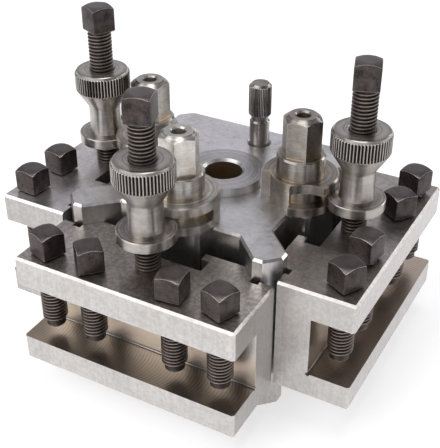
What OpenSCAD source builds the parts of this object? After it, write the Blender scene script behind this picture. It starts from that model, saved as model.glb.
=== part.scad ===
// Quick-change tool post: a square steel post carries three tool holders on wedge-shaped stations.
// The origin is on the base plane, on the axis of the central bore. The front station faces -Y.

/* [Post body] */
// Width of the post across its faces
post_w = 96; // [94:0.5:98]
// Height of the post
post_h = 70.5; // [66:0.5:80]
// How far each turned corner lies inside the sharp corner of the square
corner_trim = 3.9; // [2:0.1:5]
// Chamfer along the top edges
post_chamfer = 0.9; // [0.4:0.1:1.5]
// Diameter of the central mounting bore
bore_d = 16; // [12:0.5:20]
// Chamfer at the mouth of the central bore
bore_chamfer = 1.1; // [0.5:0.1:1.5]
// Diameter of the raised boss around the central bore
boss_d = 34.5; // [28:0.5:36]
// Height of the raised boss
boss_h = 3.9; // [2:0.1:6]
// Depth of the wedge pocket in each station
pocket_depth = 11.3; // [10:0.1:12]
// Width of the wedge pocket at its mouth
pocket_mouth_w = 76.4; // [74:0.2:78]
// Width of the nose block that stands in each pocket
nose_w = 27.6; // [25:0.2:29]
// How far the nose block stands out of the pocket floor
nose_reach = 8.7; // [7.5:0.1:9]
// Bevel on the upright edges of the nose block
nose_bevel = 1.5; // [0.5:0.1:2.5]

/* [Index pin] */
// Distance of the index pin behind the central bore
pin_setback = 35.2; // [32:0.1:38]
// Distance of the index pin from the middle plane of the post, towards the left station
pin_aside = 1; // [0:0.1:2]
// Diameter of the index pin
pin_d = 8.8; // [6:0.1:9]
// Diameter of the knurled head of the index pin
pin_head_d = 10; // [9.4:0.1:12]
// Length of the knurled head of the index pin
pin_head_h = 15.4; // [10:0.2:20]
// Height of the top of the index pin above the post
pin_top = 28.8; // [24:0.2:40]
// Chamfer on both ends of the index pin's head
pin_chamfer = 1; // [0.4:0.1:1.5]
// Length of the neck below the index pin's head
pin_neck_h = 2.4; // [1:0.2:4]
// Depth of the neck below the index pin's head
pin_neck_depth = 0.6; // [0.2:0.1:1]
// Chamfer at the mouth of the index pin's hole
pin_hole_chamfer = 1; // [0.4:0.1:1.5]
// Height of the foot of the index pin above the base
pin_foot = 0.2; // [0:0.1:1]

/* [Cam spindles] */
// Distance of each cam spindle from the central bore
spindle_radius = 34.8; // [34.2:0.1:35.2]
// Diameter of the spindle's head
head_d = 31; // [29:0.2:32]
// Height of the rim under the groove in the spindle's head
rim_h = 3.4; // [3:0.1:5]
// Height of the groove that holds the flange of the height nut
groove_h = 4.6; // [4.5:0.1:6]
// Height of the cap over the groove
cap_h = 4; // [3:0.1:5]
// Diameter of the floor of the groove
groove_floor_d = 20.6; // [17:0.2:22]
// Angle at which the groove ends, seen from the nut
groove_to = 86; // [65:1:90]
// Angle that the spindle turns to let the nut out
cam_turn = 60; // [55:1:65]
// Diameter of the window in the cap that lets the nut's flange out
window_d = 26.4; // [25:0.2:28]
// Angle at which the cut-away side of the head starts
relief_from = -155; // [-160:1:-145]
// Angle at which the cut-away side of the head ends and the groove starts
relief_to = -84; // [-88:1:-80]
// Radius left on the cut-away side of the head
relief_r = 11.9; // [11:0.1:13]
// Diameter of the collar under the hexagon
collar_d = 19.5; // [18:0.1:22]
// Height of the collar
collar_h = 8.5; // [6:0.5:10]
// Size of the hexagon across its flats
hex_flats = 14; // [12:0.5:16]
// Height of the hexagon
hex_h = 16.4; // [12:0.1:20]
// Diameter of the centre hole in the hexagon's end
centre_d = 5.5; // [4:0.5:6]
// Depth of the centre hole
centre_depth = 9; // [5:0.5:14]
// Chamfer on the spindle's turned edges
spindle_chamfer = 0.6; // [0.2:0.1:0.8]
// Turn of the front spindle's hexagon
front_hex_turn = 20; // [0:1:59]
// Turn of the right spindle's hexagon
right_hex_turn = 6; // [0:1:59]
// Turn of the left spindle's hexagon
left_hex_turn = 26; // [0:1:59]
// Diameter of the spindle's upper journal
journal_d = 16; // [15:0.1:17]
// Diameter of the eccentric pin and of the lower journal
cam_pin_d = 10; // [9:0.1:11]
// Throw of the eccentric pin
cam_throw = 2; // [1.5:0.1:2]
// Diameter of the recess in the base around the spindle's end
end_recess_d = 18; // [16:0.5:20]
// Depth of the recess in the base around the spindle's end
end_recess_h = 5; // [4:0.2:7]
// Thickness of the retaining clip on the spindle's end
clip_t = 1.2; // [0.8:0.1:1.4]
// Outer diameter of the retaining clip
clip_d = 15; // [13:0.2:15.6]
// Depth of the clip's groove in the lower journal
clip_groove = 0.8; // [0.4:0.1:1.2]
// Opening angle of the retaining clip
clip_gap_angle = 70; // [40:1:90]
// Height of the spindle's end above the base
spindle_foot = 1; // [0.5:0.1:2]

/* [Draw bolts] */
// Width of the draw bolt's bar
bar_w = 20; // [17:0.2:22]
// Height of the draw bolt's bar
bar_h = 14; // [11:0.2:16]
// Wall of the bar behind its eye
eye_wall = 3.3; // [2.5:0.1:4]
// Width of the draw bolt's T-shaped head
tee_w = 37; // [34:0.2:38]
// Thickness of the draw bolt's T-shaped head
tee_t = 4.5; // [3.8:0.1:4.8]
// Height of the draw bolt's T-shaped head
tee_h = 15; // [14:0.2:18]

/* [Tool holders] */
// Length of each tool holder
holder_l = 95.8; // [92:0.2:97]
// Height of each tool holder
holder_h = 49.5; // [47:0.5:52]
// Distance of a holder's outer face from the central bore
holder_out = 79.6; // [77:0.1:84]
// Depth of the slot for the cutting tool
tool_slot_depth = 17; // [15:0.5:18]
// Height of the slot for the cutting tool
tool_slot_h = 26; // [24:0.5:27]
// Diameter of the relief groove along the inner foot of the tool slot
slot_relief_d = 1.8; // [1:0.1:2.4]
// Thickness of the jaw under the tool
bottom_jaw = 11.3; // [9:0.1:12]
// Distance of the front holder's top below the post's top
front_drop = 9; // [6:0.1:12]
// Distance of the right holder's top below the post's top
right_drop = 6.9; // [6:0.1:12]
// Distance of the left holder's top below the post's top
left_drop = 6.7; // [6:0.1:12]
// Gap between the holder's pad and the pocket floor
pad_gap = 5.5; // [5:0.1:6]
// Gap between the holder's wings and the faces of the post
wing_gap = 0.5; // [0.3:0.1:1.2]
// Width of the relief slot beside each flank of the pad
relief_slot_w = 3.6; // [3:0.1:5]
// Depth of the relief slot beside each flank of the pad
relief_slot_depth = 1.8; // [1.5:0.1:3.5]
// Thickness of the lips of the T-slot
lip_t = 3.8; // [3.6:0.1:4.2]
// Width of the T-slot's mouth
tslot_mouth_w = 31.4; // [31:0.2:34]
// Width of the T-slot behind its lips
tslot_w = 38.8; // [38.4:0.2:42]
// Depth of the T-slot behind its lips
tslot_depth = 6.8; // [6.6:0.1:7.2]
// Chamfer along the holder's outer edges
holder_chamfer = 0.9; // [0.4:0.1:1.4]

/* [Clamp screws] */
// Distance of the clamp screws from the holder's outer face
screw_inset = 8.6; // [8:0.1:9.5]
// Distance of the inner clamp screws from the middle of the holder
screw_inner = 18.2; // [16:0.1:20]
// Distance of the outer clamp screws from the middle of the holder
screw_outer = 37.7; // [34:0.1:40]
// Diameter of the clamp screws
screw_d = 10; // [8:0.5:10.5]
// Size of the square heads across their flats
square_head = 10; // [9:0.1:11]
// Height of a clamp screw's head
screw_head_h = 10; // [8:0.5:12]
// Length of a clamp screw under its head
screw_l = 34; // [30:0.5:36]
// Diameter of the plain tip of a clamp screw
screw_tip_d = 7.8; // [6:0.1:8]
// Length of the plain tip of a clamp screw
screw_tip_h = 3.4; // [2:0.1:4]
// Heights of the heads of the front holder's four screws above it
front_necks = [0.4, 0.4, 0.4, 0.4]; // [0.2:0.1:2]
// Heights of the heads of the right holder's four screws above it
right_necks = [0.4, 1.4, 0.4, 1.5]; // [0.2:0.1:2]
// Heights of the heads of the left holder's four screws above it
left_necks = [0.4, 0.4, 0.4, 0.4]; // [0.2:0.1:2]
// Chamfer on the tips and the heads of the screws and studs
screw_chamfer = 0.9; // [0.3:0.1:1.2]

/* [Height nuts and studs] */
// Distance of each height stud from the central bore
stud_radius = 58.9; // [58.4:0.1:59.2]
// Diameter of the height stud
stud_d = 10; // [9:0.1:10.4]
// Diameter of the stud's root in the holder
stud_root_d = 8; // [7:0.1:8.4]
// Length of the stud's root in the holder
stud_root_h = 11; // [8:0.1:11.5]
// Length of the stud from its holder to its head
stud_l = 60.2; // [58:0.1:66]
// Height of a stud's square head
stud_head_h = 10.6; // [8:0.1:12]
// Diameter of the nut's flange
flange_d = 23; // [22:0.1:24]
// Thickness of the nut's flange
flange_h = 4.3; // [3.5:0.1:4.4]
// Diameter of the nut's sleeve
sleeve_d = 13.4; // [12.6:0.1:14]
// Height of the nut's sleeve above its flange
sleeve_h = 12.7; // [11:0.1:14]
// Height of the cone under the nut's knurled wheel
cone_h = 7.5; // [5:0.1:9]
// Diameter of the nut's knurled wheel
wheel_d = 23.4; // [20:0.1:25]
// Height of the nut's knurled band
knurl_h = 7.5; // [5:0.1:8]
// Chamfer on the top of the nut's wheel
wheel_chamfer = 1.1; // [0.5:0.1:1.5]

/* [Fits] */
// Radial clearance of pieces that turn or slide in a bore
running_play = 0.05; // [0.02:0.01:0.1]
// Radial clearance of the index pin in its hole
pin_play = 0.1; // [0.02:0.01:0.1]
// Clearance between flat sliding faces
slide_play = 0.1; // [0.05:0.01:0.2]
// Clearance of the eccentric pin in the draw bolt's eye
eye_play = 0.15; // [0.1:0.01:0.25]
// Clearance behind the draw bolt's bar
bar_end_play = 0.3; // [0.2:0.1:1]

/* [Hidden] */
STATIONS = ["front", "right", "left"];
SCREWS = [1, 2, 3, 4];
$fn = 96;
// Overshoot of cutting shapes past the face that they open
cut = 1;
// Angle by which the groove runs on into the cut-away side
sector_overlap = 2;
// Facets of the relief groove in the tool slot
relief_facets = 32;

// The stations, in the order of STATIONS: each faces +X in its own frame
station_angle = [-90, 0, 180];
holder_drop = [front_drop, right_drop, left_drop];
hex_turn = [front_hex_turn, right_hex_turn, left_hex_turn];
stud_angle = [106, 19, 155];
screw_angle = [[12, 40, 3, 62], [25, 71, 8, 50], [33, 5, 58, 80]];
screw_neck = [front_necks, right_necks, left_necks];

// Levels and faces of the post
post_face = post_w / 2;
corner_r = post_face * sqrt(2) - corner_trim;
corner_along = sqrt(corner_r * corner_r - post_face * post_face);
pocket_floor = post_face - pocket_depth;
mouth_half = pocket_mouth_w / 2;
floor_half = mouth_half - pocket_depth;
nose_face = pocket_floor + nose_reach;
nose_half = nose_w / 2;

// Levels of the spindle's head and of the nut that its groove holds
rim_top = post_h + rim_h;
groove_top = rim_top + groove_h;
cap_top = groove_top + cap_h;
collar_top = cap_top + collar_h;
hex_top = collar_top + hex_h;
nut_foot = rim_top + slide_play;
nut_distance = stud_radius - spindle_radius;

// The draw bolt lies halfway up the post
draw_level = post_h / 2;
cavity_half_h = bar_h / 2 + slide_play;
cam_pin_r = cam_pin_d / 2;
// With the cam locked, the eccentric pin stands this far round from the outward direction
cam_rest = -90 - cam_turn / 2;
cam_in = cam_throw * cos(cam_rest);
cam_side_rest = cam_throw * sin(cam_rest);
eye_side = (cam_side_rest - cam_throw) / 2;
eye_side_travel = (cam_throw + cam_side_rest) / 2;
eye_r = cam_pin_r + eye_play;
bar_back = spindle_radius + cam_in - eye_r - eye_wall;

// Faces of the holder
pad_face = pocket_floor + pad_gap;
wing_face = post_face + wing_gap;
flank_shift = slide_play * sqrt(2);
pad_half = mouth_half - post_face + pad_face - flank_shift;
relief_root = wing_face + relief_slot_depth;
lip_back = pad_face + lip_t;
tslot_back = lip_back + tslot_depth;
tee_face = lip_back + slide_play;
holder_end = holder_l / 2;
tool_slot_face = holder_out - tool_slot_depth;
screw_radius = holder_out - screw_inset;
screw_along = [-screw_outer, -screw_inner, screw_inner, screw_outer];

clip_ceiling = end_recess_h - slide_play;
clip_floor = clip_ceiling - clip_t;
clip_hole_r = cam_pin_r - clip_groove + running_play;

steel = [0.72, 0.74, 0.76];
dull_steel = [0.6, 0.6, 0.6];
dark_steel = [0.25, 0.22, 0.2];

function holder_top(i) = post_h - holder_drop[i];
function holder_bottom(i) = holder_top(i) - holder_h;

module at_station(i) {
    rotate([0, 0, station_angle[i]]) children();
}

module bore(r, from, to) {
    translate([0, 0, from]) cylinder(r = r, h = to - from);
}

// Prism that cuts a chamfer along the level line from a to b, with the solid on the line's right.
// It runs half a chamfer past both ends.
module chamfer_bar(a, b, size) {
    run = b - a;
    translate([a[0], a[1], 0])
        rotate([0, 0, atan2(run[1], run[0])])
            translate([-size / 2, 0, 0])
                rotate([90, 0, 90])
                    linear_extrude(norm(run) + size) chamfer_section(size);
}

module chamfer_section(size) {
    polygon([[cut, -size - cut], [cut, cut], [-size - cut, cut]]);
}

// Half of one station's outline, from the middle of the nose block to the mouth of the pocket
pocket_half = [
    [nose_face, nose_half - nose_bevel],
    [nose_face - nose_bevel, nose_half],
    [pocket_floor, nose_half],
    [pocket_floor, floor_half],
    [post_face, mouth_half]
];

module post_outline() {
    mouth = [[post_face + cut, mouth_half + cut], [post_face + cut, 0], [nose_face, 0]];
    intersection() {
        difference() {
            square(post_w, center = true);
            for (i = [0:2], side = [0, 1])
                at_station(i) mirror([0, side, 0]) polygon(concat(pocket_half, mouth));
        }
        circle(r = corner_r);
    }
}

module top_chamfers() {
    rim = concat([for (k = [2:4]) pocket_half[k]], [[post_face, corner_along]]);
    translate([0, 0, post_h]) {
        for (i = [0:2], side = [0, 1], k = [0:2])
            at_station(i) mirror([0, side, 0]) chamfer_bar(rim[k + 1], rim[k], post_chamfer);
        chamfer_bar([-corner_along, post_face], [corner_along, post_face], post_chamfer);
    }
    rotate_extrude()
        polygon([
            [corner_r - post_chamfer, post_h],
            [corner_r, post_h - post_chamfer],
            [corner_r + cut, post_h - post_chamfer],
            [corner_r + cut, post_h + cut],
            [corner_r - post_chamfer, post_h + cut]
        ]);
}

// Everything that one cam spindle and its draw bolt need inside the post
module spindle_cavity() {
    translate([spindle_radius, 0, 0]) {
        bore(journal_d / 2 + running_play, draw_level, post_h + cut);
        bore(cam_pin_r + running_play, -cut, draw_level);
        bore(end_recess_d / 2, -cut, end_recess_h);
    }
    translate([bar_back - bar_end_play, -bar_w / 2 - slide_play, draw_level - cavity_half_h])
        cube([nose_face + cut - bar_back, bar_w + 2 * slide_play, 2 * cavity_half_h]);
}

module post_body() {
    color(steel)
    difference() {
        union() {
            difference() {
                linear_extrude(post_h) post_outline();
                top_chamfers();
            }
            cylinder(d = boss_d, h = post_h + boss_h);
        }
        bore(bore_d / 2, -cut, post_h + boss_h + cut);
        translate([0, 0, post_h + boss_h - bore_chamfer])
            cylinder(r1 = bore_d / 2, r2 = bore_d / 2 + bore_chamfer + cut, h = bore_chamfer + cut);
        for (i = [0:2]) at_station(i) spindle_cavity();
        translate([-pin_aside, pin_setback, 0]) {
            bore(pin_d / 2 + pin_play, -cut, post_h + cut);
            translate([0, 0, post_h - pin_hole_chamfer])
                cylinder(
                    r1 = pin_d / 2 + pin_play,
                    r2 = pin_d / 2 + pin_play + pin_hole_chamfer + cut,
                    h = pin_hole_chamfer + cut
                );
        }
    }
}

module index_pin() {
    shank = pin_d / 2;
    head = pin_head_d / 2;
    top = post_h + pin_top;
    head_foot = top - pin_head_h;
    color(dull_steel)
    translate([-pin_aside, pin_setback, 0])
        rotate_extrude()
            polygon([
                [0, pin_foot],
                [shank - pin_chamfer, pin_foot],
                [shank, pin_foot + pin_chamfer],
                [shank, head_foot - pin_neck_h],
                [shank - pin_neck_depth, head_foot - pin_neck_h + pin_neck_depth],
                [shank - pin_neck_depth, head_foot],
                [head - pin_chamfer, head_foot],
                [head, head_foot + pin_chamfer],
                [head, top - pin_chamfer],
                [head - pin_chamfer, top],
                [0, top]
            ]);
}

// Ring sector between two angles, open to the outside of the spindle's head
module head_sector(r, from, to, low, high) {
    translate([0, 0, low])
        rotate([0, 0, from])
            rotate_extrude(angle = to - from)
                translate([r, 0]) square([head_d / 2 + cut - r, high - low]);
}

module spindle_head() {
    difference() {
        union() {
            bore(head_d / 2, post_h + running_play, cap_top - spindle_chamfer);
            translate([0, 0, cap_top - spindle_chamfer])
                cylinder(d1 = head_d, d2 = head_d - 2 * spindle_chamfer, h = spindle_chamfer);
        }
        head_sector(groove_floor_d / 2, relief_to - sector_overlap, groove_to, rim_top, groove_top);
        head_sector(relief_r, relief_from, relief_to, post_h - cut, cap_top + cut);
        rotate([0, 0, -cam_turn])
            translate([nut_distance, 0, groove_top - cut / 2])
                cylinder(d = window_d, h = cap_h + cut);
    }
}

module spindle_hexagon(turn) {
    corner = hex_flats / sqrt(3);
    intersection() {
        rotate([0, 0, turn])
            translate([0, 0, cap_top]) cylinder(r = corner, h = hex_top - cap_top, $fn = 6);
        union() {
            bore(corner + cut, cap_top - cut, hex_top - spindle_chamfer - cut);
            translate([0, 0, hex_top - spindle_chamfer - cut])
                cylinder(r1 = corner + cut, r2 = corner - spindle_chamfer, h = spindle_chamfer + cut);
        }
    }
}

module cam_spindle(i) {
    color(dull_steel)
    at_station(i)
        translate([spindle_radius, 0, 0])
            difference() {
                union() {
                    spindle_head();
                    bore(collar_d / 2, cap_top, collar_top - spindle_chamfer);
                    translate([0, 0, collar_top - spindle_chamfer])
                        cylinder(d1 = collar_d, d2 = collar_d - 2 * spindle_chamfer, h = spindle_chamfer);
                    spindle_hexagon(hex_turn[i]);
                    bore(journal_d / 2, draw_level + cavity_half_h, post_h + cut);
                    translate([cam_in, cam_side_rest, 0])
                        bore(cam_pin_r, draw_level - cavity_half_h, draw_level + cavity_half_h + cut);
                    bore(cam_pin_r, spindle_foot, draw_level - bar_h / 2 - running_play);
                }
                bore(centre_d / 2, hex_top - centre_depth, hex_top + cut);
                translate([0, 0, hex_top - spindle_chamfer])
                    cylinder(
                        r1 = centre_d / 2,
                        r2 = centre_d / 2 + spindle_chamfer + cut,
                        h = spindle_chamfer + cut
                    );
                difference() {
                    bore(cam_pin_r + cut, clip_floor - running_play, clip_ceiling + running_play);
                    bore(cam_pin_r - clip_groove, 0, end_recess_h);
                }
            }
}

module spindle_clip(i) {
    color(dark_steel)
    at_station(i)
        translate([spindle_radius, 0, clip_floor])
            rotate([0, 0, clip_gap_angle / 2])
                rotate_extrude(angle = 360 - clip_gap_angle)
                    translate([clip_hole_r, 0]) square([clip_d / 2 - clip_hole_r, clip_t]);
}

module draw_bolt(i) {
    color(dull_steel)
    at_station(i)
        difference() {
            union() {
                translate([bar_back, -bar_w / 2, draw_level - bar_h / 2])
                    cube([tee_face - bar_back + cut, bar_w, bar_h]);
                translate([tee_face, -tee_w / 2, draw_level - tee_h / 2])
                    cube([tee_t, tee_w, tee_h]);
            }
            translate([spindle_radius + cam_in, eye_side, 0]) {
                for (side = [-1, 1])
                    translate([0, side * eye_side_travel, 0]) bore(eye_r, 0, post_h);
                translate([-eye_r, -eye_side_travel, 0]) cube([2 * eye_r, 2 * eye_side_travel, post_h]);
            }
        }
}

module holder_outline() {
    polygon([
        [pad_face, -pad_half],
        [pad_face + mouth_half - pad_half, -mouth_half],
        [relief_root, -mouth_half],
        [relief_root, -mouth_half - relief_slot_w],
        [wing_face, -mouth_half - relief_slot_w],
        [wing_face, -holder_end],
        [holder_out, -holder_end],
        [holder_out, holder_end],
        [wing_face, holder_end],
        [wing_face, mouth_half + relief_slot_w],
        [relief_root, mouth_half + relief_slot_w],
        [relief_root, mouth_half],
        [pad_face + mouth_half - pad_half, mouth_half],
        [pad_face, pad_half],
        [pad_face, tslot_mouth_w / 2],
        [lip_back, tslot_mouth_w / 2],
        [lip_back, tslot_w / 2],
        [tslot_back, tslot_w / 2],
        [tslot_back, -tslot_w / 2],
        [lip_back, -tslot_w / 2],
        [lip_back, -tslot_mouth_w / 2],
        [pad_face, -tslot_mouth_w / 2]
    ]);
}

module holder_chamfers() {
    for (low = [0, 1])
        translate([0, 0, holder_h / 2])
            mirror([0, 0, low])
                translate([0, 0, holder_h / 2]) {
                    chamfer_bar([holder_out, holder_end], [holder_out, -holder_end], holder_chamfer);
                    for (side = [0, 1])
                        mirror([0, side, 0])
                            chamfer_bar([wing_face, holder_end], [holder_out, holder_end], holder_chamfer);
                }
    for (side = [0, 1])
        mirror([0, side, 0])
            translate([holder_out, -holder_end, -cut])
                linear_extrude(holder_h + 2 * cut) chamfer_corner();
}

module chamfer_corner() {
    polygon([[-holder_chamfer - cut, -cut], [cut, -cut], [cut, holder_chamfer + cut]]);
}

module tool_holder(i) {
    color(steel)
    at_station(i)
        translate([0, 0, holder_bottom(i)])
            difference() {
                linear_extrude(holder_h) holder_outline();
                translate([tool_slot_face, -holder_end - cut, bottom_jaw])
                    cube([tool_slot_depth + cut, holder_l + 2 * cut, tool_slot_h]);
                translate([tool_slot_face, -holder_end - cut, bottom_jaw])
                    rotate([-90, 0, 0])
                        cylinder(d = slot_relief_d, h = holder_l + 2 * cut, $fn = relief_facets);
                holder_chamfers();
                for (y = screw_along)
                    translate([screw_radius, y, 0])
                        bore(screw_d / 2 + running_play, bottom_jaw + tool_slot_h - cut, holder_h + cut);
                translate([stud_radius, 0, 0])
                    bore(stud_root_d / 2, holder_h - stud_root_h, holder_h + cut);
            }
}

// Square head with its corners turned down at the top, standing on the XY plane
module square_head(height, turn) {
    corner = square_head / sqrt(2);
    rotate([0, 0, turn])
        intersection() {
            translate([-square_head / 2, -square_head / 2, 0])
                cube([square_head, square_head, height]);
            union() {
                bore(corner + cut, -cut, height - screw_chamfer - cut);
                translate([0, 0, height - screw_chamfer - cut])
                    cylinder(
                        r1 = corner + cut,
                        r2 = corner - screw_chamfer,
                        h = screw_chamfer + cut
                    );
            }
        }
}

module height_stud(i) {
    color(dark_steel)
    at_station(i)
        translate([stud_radius, 0, holder_top(i)]) {
            bore(stud_root_d / 2, -stud_root_h, cut);
            bore(stud_d / 2, 0, stud_l + cut);
            translate([0, 0, stud_l]) square_head(stud_head_h, stud_angle[i]);
        }
}

module height_nut(i) {
    bore_r = stud_d / 2 + running_play;
    sleeve_top = nut_foot + flange_h + sleeve_h;
    band_foot = sleeve_top + cone_h;
    band_top = band_foot + knurl_h;
    color(dull_steel)
    at_station(i)
        translate([stud_radius, 0, 0])
            rotate_extrude()
                polygon([
                    [bore_r, nut_foot],
                    [flange_d / 2, nut_foot],
                    [flange_d / 2, nut_foot + flange_h],
                    [sleeve_d / 2, nut_foot + flange_h],
                    [sleeve_d / 2, sleeve_top],
                    [wheel_d / 2, band_foot],
                    [wheel_d / 2, band_top],
                    [wheel_d / 2 - wheel_chamfer, band_top + wheel_chamfer],
                    [bore_r, band_top + wheel_chamfer]
                ]);
}

module clamp_screw(i, n) {
    r = screw_d / 2;
    tip_r = screw_tip_d / 2;
    shoulder = screw_tip_h + r - tip_r;
    color(dark_steel)
    at_station(i)
        translate([screw_radius, screw_along[n - 1], holder_top(i) + screw_neck[i][n - 1] - screw_l]) {
            rotate_extrude()
                polygon([
                    [0, 0],
                    [tip_r - screw_chamfer, 0],
                    [tip_r, screw_chamfer],
                    [tip_r, screw_tip_h],
                    [r, shoulder],
                    [r, screw_l + cut],
                    [0, screw_l + cut]
                ]);
            translate([0, 0, screw_l]) square_head(screw_head_h, screw_angle[i][n - 1]);
        }
}

post_body();
index_pin();
for (i = [0:2]) {
    cam_spindle(i);
    spindle_clip(i);
    draw_bolt(i);
    tool_holder(i);
    height_stud(i);
    height_nut(i);
    for (n = SCREWS) {
        clamp_screw(i, n);
    }
}
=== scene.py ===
"""Quick-change tool post with three tool holders: real threads and knurls, ground and oiled steel, studio."""
import math

import bmesh
import bpy
from mathutils import Matrix, Vector


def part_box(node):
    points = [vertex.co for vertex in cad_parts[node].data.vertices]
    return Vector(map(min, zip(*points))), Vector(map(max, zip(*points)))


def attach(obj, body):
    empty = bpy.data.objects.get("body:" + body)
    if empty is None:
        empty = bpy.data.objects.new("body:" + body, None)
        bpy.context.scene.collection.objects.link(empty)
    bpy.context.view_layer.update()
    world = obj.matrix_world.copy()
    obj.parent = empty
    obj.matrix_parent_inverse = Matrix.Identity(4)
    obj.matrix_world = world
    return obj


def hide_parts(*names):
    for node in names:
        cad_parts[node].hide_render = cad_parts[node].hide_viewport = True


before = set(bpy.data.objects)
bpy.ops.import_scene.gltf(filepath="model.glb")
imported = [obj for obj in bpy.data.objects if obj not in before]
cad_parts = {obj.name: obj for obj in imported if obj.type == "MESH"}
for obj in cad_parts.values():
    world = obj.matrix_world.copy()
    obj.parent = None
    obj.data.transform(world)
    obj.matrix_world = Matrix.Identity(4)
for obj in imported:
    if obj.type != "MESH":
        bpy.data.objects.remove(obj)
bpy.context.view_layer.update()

MM = 0.001
TURN = 2 * math.pi

# Stations: the direction in which each one faces, in degrees from +X, and as a step in X and Y
STATION_ANGLE = {"front": -90, "right": 0, "left": 180}
OUTWARD = {"front": (0, -1), "right": (1, 0), "left": (-1, 0)}
SCREWS = (1, 2, 3, 4)

# Camera, solved from the photograph's own edges, in millimetres, degrees and pixels
PHOTO_SIZE = (440, 448)
CAMERA_AT = (158.9, -290.9, 258.6)
CAMERA_YAW = 28.89
CAMERA_DOWN = 32.57
CAMERA_ROLL = 0.04
FOCAL_PX = 907.0
SENSOR_MM = 36.0
CLIP_METRES = (0.01, 20)

# Meshes: the distance in millimetres under which points become one, the sides of a turned rod and of a cone,
# the sides for each tooth of a knurl, and the least angles of an edge that is shaded sharp
MERGE_MM = 0.0004
ROD_SIDES = 48
CONE_SIDES = 96
SIDES_PER_TOOTH = 6
SHARP_DEGREES, CRISP_DEGREES = 35, 20

# Clamp screws and height studs, in millimetres: threads, square heads and plain ends
SCREW_R, SCREW_ROOT, SCREW_PITCH = 4.98, 4.12, 1.5
STUD_R, STUD_ROOT, STUD_PITCH = 4.97, 4.1, 1.5
THREAD_FLAT_SHARE = 0.2
SQUARE_HEAD = 10.0
SCREW_HEAD_H = 10.0
STUD_HEAD_H = 10.6
SCREW_TIP_R, SCREW_TIP_H, SCREW_TIP_CHAMFER = 3.9, 3.4, 0.9
STUD_FOOT_R, STUD_FOOT_CHAMFER = 3.98, 0.7
HEAD_CORNER_R = 0.45
HEAD_CORNER_STEPS = 5
HEAD_EDGE = 0.35
HEAD_DOME_R = 4.7
HEAD_DOME_SLOPE = 0.5
HEAD_DOME_SHARES = (0.97, 0.9, 0.8, 0.6, 0.3)

# Turn of each square head against its station, in degrees, as the photograph shows it. Two of the left
# station's screws are hidden there, and their turn is a guess.
SCREW_TURN = {"front": (71, 46, 6, 71), "right": (62, 79, 55, 72), "left": (33, 5, 82, 86)}
STUD_TURN = {"front": 106, "right": 19, "left": 155}

# Height nut and index pin, in millimetres
FLANGE_R, FLANGE_H = 11.5, 4.3
SLEEVE_R, SLEEVE_H = 6.7, 12.7
CONE_H, WHEEL_R, KNURL_H = 7.5, 11.7, 7.5
WHEEL_CHAMFER = 1.1
NUT_EDGE = 0.25
NUT_BORE_R = 5.05
NUT_TEETH, NUT_TOOTH_DEPTH = 56, 0.5
PIN_R, PIN_HEAD_R, PIN_HEAD_H = 4.4, 5.0, 15.4
PIN_TEETH, PIN_TOOTH_DEPTH = 40, 0.35
PIN_CHAMFER, PIN_NECK_H, PIN_NECK_DEPTH = 1.0, 2.4, 0.6

# Cam spindles, in millimetres: their distance from the post's axis, and the cone turned on the hexagon's end
SPINDLE_RADIUS = 34.8
CROWN_FLAT_R = 5.5
CROWN_SLOPE = 0.73
CROWN_REACH = 20.0


def foot_of(node):
    """The middle of a node's underside."""
    low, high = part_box(node)
    return Vector(((low[0] + high[0]) / 2, (low[1] + high[1]) / 2, low[2]))


def low_z(node):
    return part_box(node)[0][2]


def high_z(node):
    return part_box(node)[1][2]


# Meshes, drawn in millimetres


def new_piece(name, bm, at, body, material, nodes, sharp_degrees=SHARP_DEGREES):
    """Makes an object of a bmesh drawn in millimetres round its own origin, and seats it on a body."""
    bmesh.ops.remove_doubles(bm, verts=bm.verts, dist=MERGE_MM)
    bmesh.ops.recalc_face_normals(bm, faces=bm.faces)
    bmesh.ops.scale(bm, vec=(MM, MM, MM), verts=bm.verts)
    mesh = bpy.data.meshes.new(name)
    bm.to_mesh(mesh)
    bm.free()
    mesh.shade_smooth()
    mesh.set_sharp_from_angle(angle=math.radians(sharp_degrees))
    piece = bpy.data.objects.new(name, mesh)
    piece.location = at
    bpy.context.scene.collection.objects.link(piece)
    mesh.materials.append(material)
    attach(piece, body)
    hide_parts(*nodes)


def tooth(turns):
    """0 on the crest of a tooth and 1 at its root, for a straight knurl of sharp teeth."""
    phase = turns % 1.0
    return 1 - abs(2 * phase - 1)


def ring_of(bm, radius, z, count, depth=0.0, teeth=0):
    """A ring of points. With teeth, the radius drops by depth between them."""
    points = []
    for k in range(count):
        angle = TURN * k / count
        r = radius - depth * tooth(angle * teeth / TURN) if teeth else radius
        points.append(bm.verts.new((r * math.cos(angle), r * math.sin(angle), z)))
    return points


def skin(bm, a, b):
    """Faces between two rings of as many points."""
    count = len(a)
    for k in range(count):
        bm.faces.new((a[k], a[(k + 1) % count], b[(k + 1) % count], b[k]))


def stack(bm, rings):
    """A closed solid of rings that lie one above the other."""
    for a, b in zip(rings, rings[1:]):
        skin(bm, a, b)
    bm.faces.new(reversed(rings[0]))
    bm.faces.new(rings[-1])


def lathe(bm, profile, count):
    """Turns a profile of (radius, z[, tooth depth, teeth]) round the Z axis and caps its two ends."""
    stack(bm, [ring_of(bm, p[0], p[1], count, *p[2:]) for p in profile])


def lathe_tube(bm, profile, count):
    """Turns a closed profile of (radius, z[, tooth depth, teeth]) round the Z axis."""
    rings = [ring_of(bm, p[0], p[1], count, *p[2:]) for p in profile]
    for a, b in zip(rings, rings[1:] + rings[:1]):
        skin(bm, a, b)


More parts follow.
